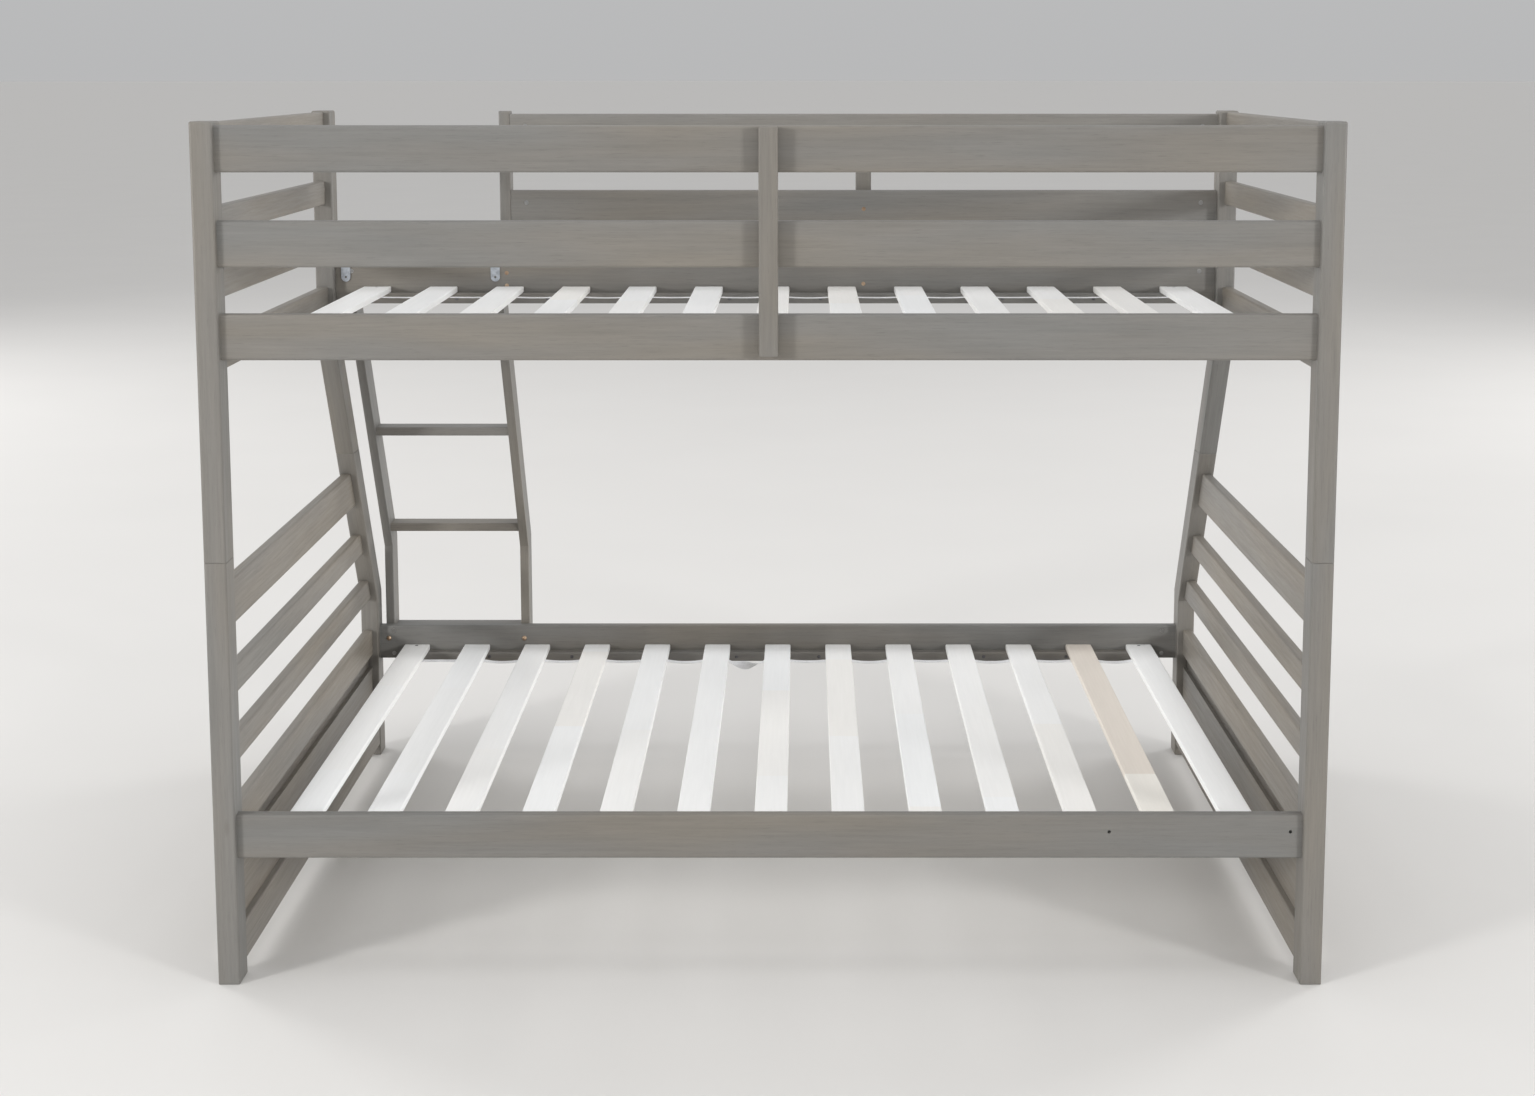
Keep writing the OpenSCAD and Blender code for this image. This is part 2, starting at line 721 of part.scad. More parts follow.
// Steel straps bent over the side rail: a short leg with a rounded end inside,
// a longer one outside that is screwed to the stile
module ladder_hooks() {
    rail_in = upper_rail_y - rail_t / 2;
    rail_out = upper_rail_y + rail_t / 2;
    top = upper_rail_z + rail_h / 2;
    y0 = rail_in - hook_t;
    y1 = rail_out + hook_t;
    leg_end = top - 36;
    color(zinc) place() difference() {
        for (x = [stile_left_x, stile_right_x])
            intersection() {
                across_x(concat(
                    [[y0, leg_end], [rail_in, leg_end], [rail_in, top], [rail_out, top],
                     [rail_out, 1178], [y1, 1178]],
                    [for (a = [0 : 30 : 90]) [y1 - 3 + 3 * cos(a), top + hook_t - 3 + 3 * sin(a)]],
                    [for (a = [90 : 30 : 180])
                        [y0 + 3 + 3 * cos(a), top + hook_t - 3 + 3 * sin(a)]]),
                    x - 10, x + 10);
                union() {
                    translate([x - 10, y0 - 1, leg_end + 10]) cube([20, 60, 60]);
                    round_y(x, y0 - 1, rail_in + 1, leg_end + 10, 10);
                    translate([x - 10, rail_in + 1, 1170]) cube([20, 40, 90]);
                }
            }
        for (x = [stile_left_x, stile_right_x])
            round_y(x, y0 - 5, rail_in + 5, leg_end + 10, 2.6);
        hook_screw_places() screw_hole(30, 2, 4);
    }
}

// ---------------------------------------------------------------- hardware

// Flat-headed connector bolts, sunk flush into the posts, with hexagon sockets
module post_bolts() {
    color(zinc) place()
        for (b = all_bolts())
            translate([b[0], b[2], b[3]]) rotate([0, b[1] * 90, 0])
                difference() {
                    union() {
                        translate([0, 0, 0.5]) cylinder(h = 2.4, r = bolt_head_r, $fn = fine);
                        translate([0, 0, 2.8])
                            cylinder(h = b[4] + nut_setback + 4, r = bolt_r, $fn = fine);
                    }
                    translate([0, 0, 0.2]) cylinder(h = 2, r = 2.6, $fn = 6);
                }
}

// Cross-drilled barrel nuts with a screwdriver slot in the end that shows
module barrel_nuts() {
    color(zinc) place()
        for (b = all_bolts())
            let (face = nut_face(b[2]), way = nut_way(b[2]))
                difference() {
                    translate([nut_x(b), face + way * 0.5, b[3]]) rotate([way * -90, 0, 0])
                        difference() {
                            cylinder(h = 18, r = nut_r, $fn = fine);
                            translate([-nut_r, -0.7, -1]) cube([2 * nut_r, 1.4, 2.2]);
                        }
                    round_x(nut_x(b) - 9, nut_x(b) + 9, b[2], b[3], bolt_r + 0.05);
                }
}

// Steel pins that locate the upper posts on the lower ones
module post_pins() {
    color(steel) place()
        for (x = [-post_x, post_x], y = [post_d / 2, leg_y(seam_height) + leg_deep / 2])
            translate([x, y, seam_height - 30]) cylinder(h = 60, r = pin_r, $fn = fine);
}

module guard_screws() {
    color(yellow_zinc) place() guard_screw_places() wood_screw(40, 2.2, 4.4);
}

module ledger_screws() {
    color(steel) place() {
        for (z = [upper_deck_z, lower_deck_z])
            ledger_screw_places(wall_rail_y + rail_t / 2 + ledger_d, -1, z - ledger_h / 2)
                wood_screw(44, 2, 4);
        ledger_screw_places(upper_rail_y - rail_t / 2 - ledger_d, 1, upper_deck_z - ledger_h / 2)
            wood_screw(44, 2, 4);
        ledger_screw_places(lower_rail_y - rail_t / 2 - ledger_d, 1, lower_deck_z - ledger_h / 2)
            wood_screw(44, 2, 4);
    }
}

module slat_screws() {
    color(steel) place() slat_screw_places() wood_screw(30, 2, 4);
}

// Round-headed bolts through the lower side rail into the feet of the stiles
module ladder_foot_bolts() {
    y = lower_rail_y - rail_t / 2;
    color(zinc) place()
        for (x = [stile_left_x, stile_right_x])
            difference() {
                union() {
                    intersection() {
                        translate([x, y + 3.2, foot_bolt_z]) sphere(r = 6.8, $fn = fine);
                        translate([x - 8, y - 8, foot_bolt_z - 8]) cube([16, 8, 16]);
                    }
                    round_y(x, y - 0.2, y + rail_t + 40, foot_bolt_z, bolt_r);
                }
                translate([x, y - 10, foot_bolt_z]) rotate([-90, 0, 0])
                    cylinder(h = 8.6, r = 2.3, $fn = 6);
            }
}

module hook_screws() {
    color(zinc) place() hook_screw_places() wood_screw(30, 2, 4);
}

lower_post_wall_left();
lower_post_wall_right();
lower_post_ladder_left();
lower_post_ladder_right();
upper_post_wall_left();
upper_post_wall_right();
upper_post_ladder_left();
upper_post_ladder_right();
upper_end_top_rail_left();
upper_end_second_rail_left();
upper_end_third_rail_left();
upper_end_bottom_rail_left();
upper_end_top_rail_right();
upper_end_second_rail_right();
upper_end_third_rail_right();
upper_end_bottom_rail_right();
lower_end_top_rail_left();
lower_end_second_rail_left();
lower_end_third_rail_left();
lower_end_fourth_rail_left();
lower_end_panel_left();
lower_end_foot_rail_left();
lower_end_top_rail_right();
lower_end_second_rail_right();
lower_end_third_rail_right();
lower_end_fourth_rail_right();
lower_end_panel_right();
lower_end_foot_rail_right();
wall_guard_top_rail();
wall_guard_mid_rail();
wall_guard_cleat();
ladder_guard_top_rail();
ladder_guard_mid_rail();
ladder_guard_cleat();
opening_post();
upper_side_rail_wall();
upper_side_rail_ladder();
lower_side_rail_wall();
lower_side_rail_ladder();
upper_ledger_wall();
upper_ledger_ladder();
lower_ledger_wall();
lower_ledger_ladder();
upper_slats();
lower_slats();
lower_cream_slat();
slat_webbing();
ladder_stile_left();
ladder_stile_right();
ladder_rungs();
ladder_hooks();
post_bolts();
barrel_nuts();
post_pins();
guard_screws();
ledger_screws();
slat_screws();
ladder_foot_bolts();
hook_screws();
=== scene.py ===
"""Twin-over-full bunk bed with a hook-on ladder: wood wash, painted slats, tapes, plated steel.

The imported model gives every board, slat and fastener its shape. This script eases the long edges
of the leaning pieces, hangs and staples the tapes under the slats, gives each piece its finish,
and sets up a pale studio with the camera.
"""

import logging
import math
import random
from dataclasses import dataclass, field
from enum import Enum

import bmesh
import bpy
from mathutils import Matrix, Vector


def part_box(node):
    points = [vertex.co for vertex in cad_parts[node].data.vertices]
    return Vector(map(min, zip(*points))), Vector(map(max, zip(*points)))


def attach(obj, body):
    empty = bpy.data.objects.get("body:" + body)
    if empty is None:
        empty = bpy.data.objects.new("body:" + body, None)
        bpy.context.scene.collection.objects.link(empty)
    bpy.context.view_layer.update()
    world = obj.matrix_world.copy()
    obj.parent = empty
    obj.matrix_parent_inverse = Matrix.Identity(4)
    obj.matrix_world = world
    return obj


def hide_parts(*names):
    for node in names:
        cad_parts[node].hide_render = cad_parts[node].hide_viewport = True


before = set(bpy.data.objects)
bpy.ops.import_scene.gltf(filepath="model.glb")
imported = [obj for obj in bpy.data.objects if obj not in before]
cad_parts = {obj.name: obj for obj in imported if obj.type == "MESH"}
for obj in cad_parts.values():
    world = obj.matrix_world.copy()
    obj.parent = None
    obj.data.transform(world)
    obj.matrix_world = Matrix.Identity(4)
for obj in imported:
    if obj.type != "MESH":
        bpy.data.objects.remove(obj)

LOG = logging.getLogger("bunk_bed")
BODY = "root"
Colour = tuple[float, float, float]
Triple = tuple[float, float, float]
Socket = bpy.types.NodeSocket


def srgb(red: int, green: int, blue: int) -> Colour:
    """Turns a colour as it is seen on a screen into the linear values that shaders use.

    Args:
        red: Red, 0 to 255.
        green: Green, 0 to 255.
        blue: Blue, 0 to 255.

    Returns:
        The linear colour.
    """
    values = []
    for level in (red, green, blue):
        part = level / 255
        values.append(part / 12.92 if part <= 0.04045 else ((part + 0.055) / 1.055) ** 2.4)
    return values[0], values[1], values[2]


class Grain(Enum):
    """Which way the grain of a board runs."""

    ALONG_BED = "along the bed"
    ACROSS_BED = "across the bed"
    UPRIGHT = "upright"


@dataclass(frozen=True)
class Lean:
    """The stretch of height over which an upright piece leans.

    Attributes:
        slope: How far it moves out for each metre that it falls.
        low: Height at which the lean ends.
        high: Height at which the lean starts.
    """

    slope: float
    low: float
    high: float


LEG_LEAN = Lean(slope=0.6, low=0.385, high=1.055)
STILE_LEAN = Lean(slope=0.6, low=0.510, high=1.175)
SLAT_PITCH = 0.1465


class Recipe:
    """A material while it is being mixed: short calls over its node tree."""

    def __init__(self, name: str) -> None:
        """Starts a material with one Principled surface.

        Args:
            name: The material's name.
        """
        self.material = bpy.data.materials.new(name)
        self.material.use_nodes = True
        self.tree = self.material.node_tree
        self.tree.nodes.clear()
        output = self.tree.nodes.new("ShaderNodeOutputMaterial")
        self.surface = self.tree.nodes.new("ShaderNodeBsdfPrincipled")
        self.tree.links.new(self.surface.outputs["BSDF"], output.inputs["Surface"])

    def join(self, source: Socket, target: Socket) -> None:
        """Links one socket to another."""
        self.tree.links.new(source, target)

    def coordinates(self, kind: str = "Object") -> Socket:
        """Returns the piece's own coordinates of one kind."""
        return self.tree.nodes.new("ShaderNodeTexCoord").outputs[kind]

    def math(self, operation: str, first: Socket | float, second: Socket | float = 0.0) -> Socket:
        """Adds a Math node.

        Args:
            operation: Blender's name of the operation.
            first: A socket or a number.
            second: A socket or a number.

        Returns:
            The result's socket.
        """
        node = self.tree.nodes.new("ShaderNodeMath")
        node.operation = operation
        for place, value in enumerate((first, second)):
            if isinstance(value, (int, float)):
                node.inputs[place].default_value = value
            else:
                self.join(value, node.inputs[place])
        return node.outputs[0]

    def placed(self, vector: Socket, scale: Triple, shift: Triple = (0.0, 0.0, 0.0)) -> Socket:
        """Stretches and moves a pattern's coordinates.

        Args:
            vector: The coordinates.
            scale: Repeats per metre along the three axes.
            shift: How far the pattern moves, after the stretch.

        Returns:
            The new coordinates.
        """
        node = self.tree.nodes.new("ShaderNodeMapping")
        node.inputs["Scale"].default_value = scale
        node.inputs["Location"].default_value = shift
        self.join(vector, node.inputs["Vector"])
        return node.outputs["Vector"]

    def noise(self, vector: Socket, detail: float, rough: float, swirl: float = 0.0) -> Socket:
        """Adds a noise.

        Args:
            vector: The coordinates, already stretched.
            detail: Octaves.
            rough: How strong the finer octaves are.
            swirl: Distortion.

        Returns:
            The noise's value, about 0.3 to 0.7.
        """
        node = self.tree.nodes.new("ShaderNodeTexNoise")
        node.inputs["Scale"].default_value = 1.0
        node.inputs["Detail"].default_value = detail
        node.inputs["Roughness"].default_value = rough
        node.inputs["Distortion"].default_value = swirl
        self.join(vector, node.inputs["Vector"])
        return node.outputs["Fac"]

    def range(self, value: Socket, low: float, high: float, to_low: float, to_high: float) -> Socket:
        """Maps a value from one range to another, clamped.

        Args:
            value: The value.
            low: Start of its range.
            high: End of its range.
            to_low: What the start becomes.
            to_high: What the end becomes.

        Returns:
            The mapped value.
        """
        node = self.tree.nodes.new("ShaderNodeMapRange")
        for place, number in enumerate((low, high, to_low, to_high), start=1):
            node.inputs[place].default_value = number
        self.join(value, node.inputs[0])
        return node.outputs[0]

    def ramp(self, value: Socket, stops: list[tuple[float, Colour]]) -> Socket:
        """Turns a value into a colour.

        Args:
            value: The value.
            stops: Places and colours of the ramp.

        Returns:
            The colour's socket.
        """
        node = self.tree.nodes.new("ShaderNodeValToRGB")
        elements = node.color_ramp.elements
        while len(elements) < len(stops):
            elements.new(0.5)
        for element, (place, colour) in zip(elements, stops):
            element.position = place
            element.color = (*colour, 1.0)
        self.join(value, node.inputs[0])
        return node.outputs["Color"]

    def tint(self, colour: Socket, strength: Socket) -> Socket:
        """Multiplies a colour by a grey value.

        Args:
            colour: The colour.
            strength: The value, 1 for no change.

        Returns:
            The darkened or lightened colour.
        """
        node = self.tree.nodes.new("ShaderNodeMix")
        node.data_type = "RGBA"
        node.blend_type = "MULTIPLY"
        node.inputs["Factor"].default_value = 1.0
        self.join(colour, node.inputs["A"])
        self.join(strength, node.inputs["B"])
        return node.outputs["Result"]

    def blend(self, amount: Socket, first: Socket, second: Colour) -> Socket:
        """Mixes a colour towards a fixed one.

        Args:
            amount: 0 keeps the first, 1 gives the second.
            first: The first colour.
            second: The second colour.

        Returns:
            The mixed colour.
        """
        node = self.tree.nodes.new("ShaderNodeMix")
        node.data_type = "RGBA"
        self.join(amount, node.inputs["Factor"])
        self.join(first, node.inputs["A"])
        node.inputs["B"].default_value = (*second, 1.0)
        return node.outputs["Result"]

    def bump(self, height: Socket, strength: float, depth: float) -> None:
        """Gives the surface a fine relief.

        Args:
            height: The relief's height.
            strength: How strongly it shows.
            depth: Its depth in metres.
        """
        node = self.tree.nodes.new("ShaderNodeBump")
        node.inputs["Strength"].default_value = strength
        node.inputs["Distance"].default_value = depth
        self.join(height, node.inputs["Height"])
        self.join(node.outputs["Normal"], self.surface.inputs["Normal"])

    def split(self, vector: Socket) -> list[Socket]:
        """Takes coordinates apart into their three axes."""
        node = self.tree.nodes.new("ShaderNodeSeparateXYZ")
        self.join(vector, node.inputs[0])
        return list(node.outputs)

    def merge(self, *axes: Socket) -> Socket:
        """Puts axes together as coordinates."""
        node = self.tree.nodes.new("ShaderNodeCombineXYZ")
        for place, axis in enumerate(axes):
            self.join(axis, node.inputs[place])
        return node.outputs[0]

    def chance(self, dimensions: str, place: str, seed: Socket) -> Socket:
        """Adds a random value that is the same wherever its seed is.

        Args:
            dimensions: Blender's name of the seed's dimensions.
            place: The input that takes the seed.
            seed: The seed.

        Returns:
            The value, 0 to 1.
        """
        node = self.tree.nodes.new("ShaderNodeTexWhiteNoise")
        node.noise_dimensions = dimensions
        self.join(seed, node.inputs[place])
        return node.outputs["Value"]

    def along_grain(self, grain: Grain, lean: Lean | None) -> Socket:
        """Coordinates whose first axis follows the grain.

        Args:
            grain: Which way the grain runs.
            lean: The stretch that leans, if the piece has one.

        Returns:
            The coordinates, in metres.
        """
        x, y, z = self.split(self.coordinates())
        if lean is not None:
            inside = self.math("MINIMUM", self.math("MAXIMUM", z, lean.low), lean.high)
            y = self.math("ADD", y, self.math("MULTIPLY", inside, lean.slope))
        order = {
            Grain.ALONG_BED: (x, y, z),
            Grain.ACROSS_BED: (y, x, z),
            Grain.UPRIGHT: (z, x, y),
        }
        return self.merge(*order[grain])


@dataclass(frozen=True)
class GrainLayer:
    """One scale of the pattern in the wood, or in the paint over it.

    Attributes:
        stretch: Repeats per metre along the grain, and the two ways across it.
        detail: Octaves of its noise.
        rough: How strong the finer octaves are.
        swirl: Distortion.
        window: The two noise values between which it shades the surface.
        change: The brightness that it gives, or adds, at each of them.
    """

    stretch: Triple
    detail: float
    rough: float
    swirl: float = 0.0
    window: tuple[float, float] = (0.3, 0.7)
    change: tuple[float, float] = (0.0, 0.0)

    def pattern(self, mix: Recipe, vector: Socket, shift: Triple = (0.0, 0.0, 0.0)) -> Socket:
        """Adds the layer's noise.

        Args:
            mix: The material that is being mixed.
            vector: Coordinates along the grain.
            shift: Where in the pattern the board is cut from.

        Returns:
            The noise's value.
        """
        return mix.noise(mix.placed(vector, self.stretch, shift), self.detail, self.rough, self.swirl)

    def shading(self, mix: Recipe, pattern: Socket) -> Socket:
        """Turns the layer's noise into brightness."""
        return mix.range(pattern, *self.window, *self.change)


BROAD = GrainLayer((1.3, 9.0, 9.0), detail=2.0, rough=0.5)
CLOUD = GrainLayer((3.6, 24.0, 24.0), detail=3.0, rough=0.6, change=(-0.045, 0.045))
STREAK = GrainLayer((7.0, 190.0, 190.0), detail=5.0, rough=0.66, change=(-0.08, 0.07))
FIGURE = GrainLayer(
    (1.6, 52.0, 52.0), detail=2.0, rough=0.5, swirl=1.4, window=(0.54, 0.62), change=(0.0, -0.035)
)
FIBRE = GrainLayer(
    (30.0, 640.0, 640.0), detail=3.0, rough=0.6, window=(0.58, 0.70), change=(0.0, -0.16)
)


@dataclass(frozen=True)
class WashedWood:
    """Straight-grained wood under a thin grey-brown wash.

    Attributes:
        slot: The record's material slot.
        cool: The greyest part of the wash.
        middle: Its usual colour.
        warm: Where the wood shows through.
        knot: Colour of a pin knot.
        stops: Values of the broad pattern at which the three tones lie.
        reach: How far along the pattern the boards may be cut from, either way.
        knot_spacing: Cells per metre, of which each holds one knot.
        knot_edge: Distances from a knot's middle at which it starts and ends to fade.
        knot_strength: How far a knot hides the wash.
        roughness: Roughness in the dark and in the light streaks.
        shine: Strength of the surface's reflection.
        relief: Strength and depth of the grain's relief.
        streak_share: How much of the relief the streaks make, against the fibres.
    """

    slot: str = "grey_washed_wood"
    cool: Colour = srgb(117, 116, 113)
    middle: Colour = srgb(119, 116, 111)
    warm: Colour = srgb(122, 117, 109)
    knot: Colour = srgb(88, 80, 72)
    stops: Triple = (0.34, 0.50, 0.66)
    reach: float = 40.0
    knot_spacing: Triple = (2.2, 7.0, 7.0)
    knot_edge: tuple[float, float] = (0.015, 0.05)
    knot_strength: float = 0.45
    roughness: tuple[float, float] = (0.50, 0.40)
    shine: float = 0.42
    relief: tuple[float, float] = (0.22, 0.0006)
    streak_share: float = 0.6

    def material(
        self, name: str, grain: Grain, seed: int, lean: Lean | None = None, tone: float = 1.0
    ) -> bpy.types.Material:
        """Mixes the wash for one board.

        Args:
            name: The material's name.
            grain: Which way the board's grain runs.
            seed: Sets where in the pattern the board is cut from.
            lean: The stretch that leans, if the board has one.
            tone: Brightness of this board against the others.

        Returns:
            The material.
        """
        mix = Recipe(name)
        cut = random.Random(seed)
        shift = tuple(cut.uniform(-self.reach, self.reach) for _ in "xyz")
        vector = mix.along_grain(grain, lean)
        cool, middle, warm, knot = (
            tuple(part * tone for part in colour) for colour in (self.cool, self.middle, self.warm, self.knot)
        )
        wash = mix.ramp(BROAD.pattern(mix, vector, shift), list(zip(self.stops, (cool, middle, warm))))
        patterns = {layer: layer.pattern(mix, vector, shift) for layer in (CLOUD, STREAK, FIGURE, FIBRE)}
        light: Socket | float = 1.0
        for layer, pattern in patterns.items():
            light = mix.math("ADD", layer.shading(mix, pattern), light)

        knots = mix.tree.nodes.new("ShaderNodeTexVoronoi")
        knots.inputs["Scale"].default_value = 1.0
        mix.join(mix.placed(vector, self.knot_spacing, shift), knots.inputs["Vector"])
        spot = mix.range(knots.outputs["Distance"], *self.knot_edge, self.knot_strength, 0.0)
        mix.join(mix.blend(spot, mix.tint(wash, light), knot), mix.surface.inputs["Base Color"])

        streak = patterns[STREAK]
        mix.join(mix.range(streak, *STREAK.window, *self.roughness), mix.surface.inputs["Roughness"])
        mix.surface.inputs["Specular IOR Level"].default_value = self.shine
        coarse = mix.math("MULTIPLY", streak, self.streak_share)
        fine = mix.math("MULTIPLY", patterns[FIBRE], 1.0 - self.streak_share)
        mix.bump(mix.math("ADD", coarse, fine), *self.relief)
        return mix.material


# Painted light: a lighter, warmer copy of the wash for the end boards, which paints in the lamp light that
# falls on their inner faces.
LAMPLIT_END_WASH = WashedWood(
    cool=srgb(119, 116, 111),
    middle=srgb(122, 117, 110),
    warm=srgb(125, 118, 108),
    knot=srgb(90, 81, 72),
)


PAINT_CLOUD = GrainLayer((2.0, 14.0, 14.0), detail=3.0, rough=0.6, swirl=0.3, change=(0.985, 1.01))
PAINT_STREAK = GrainLayer((7.0, 180.0, 180.0), detail=4.0, rough=0.6, change=(-0.02, 0.02))


@dataclass(frozen=True)
class SlatPaint:
    """Paint on the slats, thin enough for the wood to show a little.

    Attributes:
        cool: The coolest tone.
        plain: The usual tone.
        warm: The warmest tone.
        stops: Tone values at which the three lie.
        seam: Where across the bed the tone changes from cool to warm, if at one place only.
        pitch: Distance between slats, which sets where one slat's tone ends.
        length: Length of the pieces that a slat is finger-jointed from.
        seam_width: Width of the change at the seam.
        piece_share: How much of the tone each jointed piece sets, against the broad clouds.
        roughness: Roughness in the dark and in the light streaks.
        relief: Strength and depth of the grain's relief.
    """

    cool: Colour
    plain: Colour
    warm: Colour
    stops: Triple = (0.15, 0.5, 0.85)
    seam: float | None = None
    pitch: float = SLAT_PITCH
    length: float = 0.62
    seam_width: float = 0.001
    piece_share: float = 0.75
    roughness: tuple[float, float] = (0.46, 0.38)
    relief: tuple[float, float] = (0.12, 0.0004)

    def tone(self, mix: Recipe, cloud: Socket) -> Socket:
        """Works out how warm the paint is at each place.

        Args:
            mix: The material that is being mixed.
            cloud: The value of the broad clouds.

        Returns:
            The tone, from 0 for cool to 1 for warm.
        """
        x, y, _ = mix.split(mix.coordinates())
        if self.seam is not None:
            half = self.seam_width / 2
            return mix.range(y, self.seam - half, self.seam + half, 0.0, 1.0)
        number = mix.math("FLOOR", mix.math("DIVIDE", mix.math("ADD", x, 0.5 * self.pitch), self.pitch))
        start = mix.chance("1D", "W", number)
        piece = mix.math("FLOOR", mix.math("ADD", mix.math("DIVIDE", y, self.length), start))
        own = mix.math("MULTIPLY", mix.chance("2D", "Vector", mix.merge(number, piece)), self.piece_share)
        return mix.math("ADD", own, mix.math("MULTIPLY", cloud, 1.0 - self.piece_share))

    def material(self, name: str) -> bpy.types.Material:
        """Mixes the paint, with a slightly different tone on each jointed piece.

        Args:
            name: The material's name.

        Returns:
            The material.
        """
        mix = Recipe(name)
        vector = mix.along_grain(Grain.ACROSS_BED, None)
        cloud = PAINT_CLOUD.pattern(mix, vector)
        streak = PAINT_STREAK.pattern(mix, vector)
        paint = mix.ramp(self.tone(mix, cloud), list(zip(self.stops, (self.cool, self.plain, self.warm))))
        light = mix.math("ADD", PAINT_STREAK.shading(mix, streak), PAINT_CLOUD.shading(mix, cloud))
        mix.join(mix.tint(paint, light), mix.surface.inputs["Base Color"])
        gloss = mix.range(streak, *PAINT_STREAK.window, *self.roughness)
        mix.join(gloss, mix.surface.inputs["Roughness"])
        mix.bump(streak, *self.relief)
        return mix.material


@dataclass(frozen=True)
class PlatedSteel:
    """Steel hardware with a thin plated or dull finish.

    Attributes:
        slot: The record's material slot.
        light: Colour of the brightest plating.
        dark: Colour where it is dulled.
        rough: Roughness of the surface.
        dulling: How much rougher the dulled patches are.
        polish: How much smoother the bright patches are.
        patches: Patches per metre.
        brushing: Brush marks per metre along the three axes.
        relief: Strength and depth of the brush marks.
    """

    slot: str
    light: Colour
    dark: Colour
    rough: float
    dulling: float = 0.08
    polish: float = 0.06
    patches: float = 90.0
    brushing: Triple = (300.0, 300.0, 2600.0)
    relief: tuple[float, float] = (0.10, 0.0002)

    def material(self, name: str) -> bpy.types.Material:
        """Mixes the plating.

        Args:
            name: The material's name.

        Returns:
            The material.
        """
        mix = Recipe(name)
        vector = mix.coordinates()
        patch = mix.noise(mix.placed(vector, (self.patches, self.patches, self.patches)), 3.0, 0.6)
        brushed = mix.noise(mix.placed(vector, self.brushing), 2.0, 0.5)
        plating = mix.ramp(patch, [(0.35, self.dark), (0.65, self.light)])
        mix.join(plating, mix.surface.inputs["Base Color"])
        mix.surface.inputs["Metallic"].default_value = 1.0
        dulled, polished = self.rough + self.dulling, self.rough - self.polish
        mix.join(mix.range(patch, 0.3, 0.7, dulled, polished), mix.surface.inputs["Roughness"])
        mix.bump(brushed, *self.relief)
        return mix.material


@dataclass(frozen=True)
class WovenTape:
    """Flat white tape, woven with a fine rib along it.

    Attributes:
        slot: The record's material slot.
        thread: Colour of a thread's top.
        gap: Painted shade between the threads: the darker colour at the weave's low points.
        ribs: Ribs per metre of width.
        picks: Crossing threads per metre of length.
        roughness: Roughness of the threads.
        sheen: Strength of the fine fibres' sheen.
        relief: Strength and depth of the weave's relief.
    """

    slot: str = "white_tape"
    thread: Colour = srgb(244, 244, 245)
    gap: Colour = srgb(205, 205, 208)
    ribs: float = 700.0
    picks: float = 520.0
    roughness: float = 0.85
    sheen: float = 0.2
    relief: tuple[float, float] = (0.4, 0.0002)

    def material(self, name: str) -> bpy.types.Material:
        """Mixes the weave on the tape's own lengthways and crossways measures.

        Args:
            name: The material's name.

        Returns:
            The material.
        """
        mix = Recipe(name)
        along, across, _ = mix.split(mix.coordinates("UV"))
        turn = 2 * math.pi
        pick = mix.math("SINE", mix.math("MULTIPLY", along, self.picks * turn))
        rib = mix.math("SINE", mix.math("MULTIPLY", across, self.ribs * turn))
        weave = mix.math("MULTIPLY", pick, rib)
        # Painted shade: the weave's low points take the darker gap colour, for the shade that falls between
        # the threads.
        depth = mix.range(weave, -1.0, 1.0, 0.0, 1.0)
        cloth = mix.ramp(depth, [(0.25, self.gap), (0.7, self.thread)])
        mix.join(cloth, mix.surface.inputs["Base Color"])
        mix.surface.inputs["Roughness"].default_value = self.roughness
        mix.surface.inputs["Sheen Weight"].default_value = self.sheen
        mix.bump(weave, *self.relief)
        return mix.material


WHITE_PAINT = SlatPaint(srgb(247, 248, 248), srgb(247, 247, 246), srgb(246, 244, 240))
CREAM_PAINT = SlatPaint(srgb(240, 236, 228), srgb(233, 226, 216), srgb(228, 219, 208), seam=-0.348)
ZINC_STRAP = PlatedSteel("zinc_strap", srgb(214, 220, 228), srgb(176, 182, 190), 0.34)
ZINC_BOLT = PlatedSteel("zinc_fastener", srgb(205, 205, 204), srgb(160, 160, 160), 0.30)
DULL_STEEL = PlatedSteel("plain_steel", srgb(118, 118, 120), srgb(78, 78, 80), 0.45)
YELLOW_ZINC = PlatedSteel("yellow_zinc", srgb(208, 184, 158), srgb(170, 142, 118), 0.34)


def dress(node: bpy.types.Object, material: bpy.types.Material) -> None:
    """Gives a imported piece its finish.

    Args:
        node: The piece.
        material: The finish, which takes the place of the plain one.
    """
    if node.material_slots:
        for place in node.material_slots:
            place.material = material
    else:
        node.data.materials.append(material)
    LOG.info("%s: finished with %s", node.name, material.name)


def finished(
    shape: bmesh.types.BMesh, name: str, material: bpy.types.Material, slot: str
) -> bpy.types.Object:
    """Turns a modelled shape into a piece that rides on the bed.

    Args:
        shape: The shape, which is freed.
        name: The piece's name.
        material: Its finish.
        slot: The record's material slot of that finish.

    Returns:
        The piece.
    """
    mesh = bpy.data.meshes.new(name)
    shape.to_mesh(mesh)
    shape.free()
    piece = bpy.data.objects.new(name, mesh)
    bpy.context.scene.collection.objects.link(piece)
    mesh.materials.append(material)
    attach(piece, BODY)
    LOG.info("%s: made, in %s", name, slot)
    return piece


